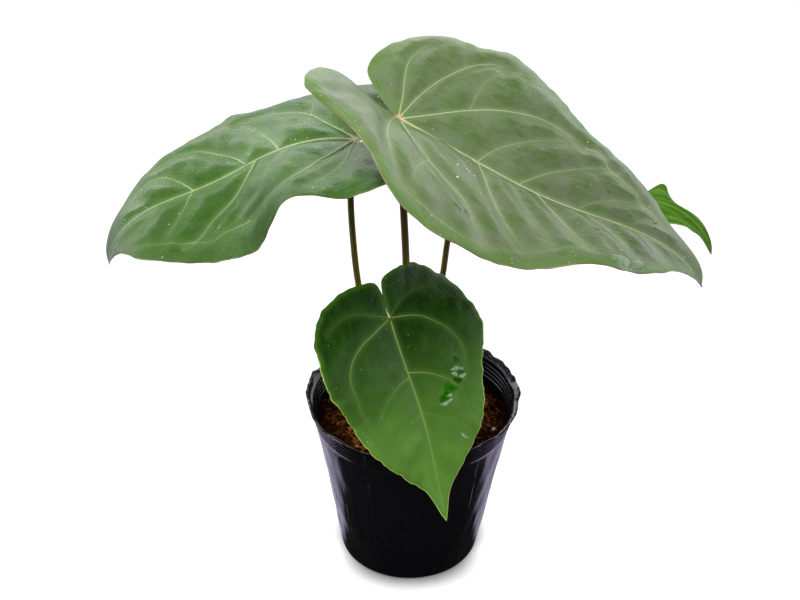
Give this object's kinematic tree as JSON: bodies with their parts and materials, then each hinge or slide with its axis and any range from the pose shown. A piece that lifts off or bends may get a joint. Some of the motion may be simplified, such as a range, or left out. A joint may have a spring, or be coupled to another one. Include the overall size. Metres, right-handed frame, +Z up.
{
  "type": "potted anthurium hybrid",
  "caption": "Potted anthurium hybrid with heart-shaped leaves on long petioles, growing from a short crown in coir in a soft black nursery pot.",
  "frame": {"origin": "middle of the pot's flat underside, on the surface it stands on", "axes": "+Z up, +X along the longest spread of the leaves, to the right as seen from the front, +Y to the back"},
  "size_m": [0.4007, 0.238, 0.3912],
  "materials": {
    "pot_plastic": "satin",
    "coir_fibre": "matte",
    "crown_fibre": "matte",
    "petiole_skin": "satin",
    "leaf_mid_green": "satin",
    "leaf_grey_green": "satin",
    "leaf_bright_green": "satin",
    "leaf_dark_green": "satin"
  },
  "bodies": {
    "root": {"pot": "pot_plastic", "coir": "coir_fibre", "crown": "crown_fibre", "petiole_left": "petiole_skin", "petiole_top": "petiole_skin", "petiole_rear": "petiole_skin", "petiole_front": "petiole_skin", "blade_left": "leaf_mid_green", "blade_top": "leaf_grey_green", "blade_rear": "leaf_bright_green", "blade_front": "leaf_dark_green"}
  },
  "joints": []
}
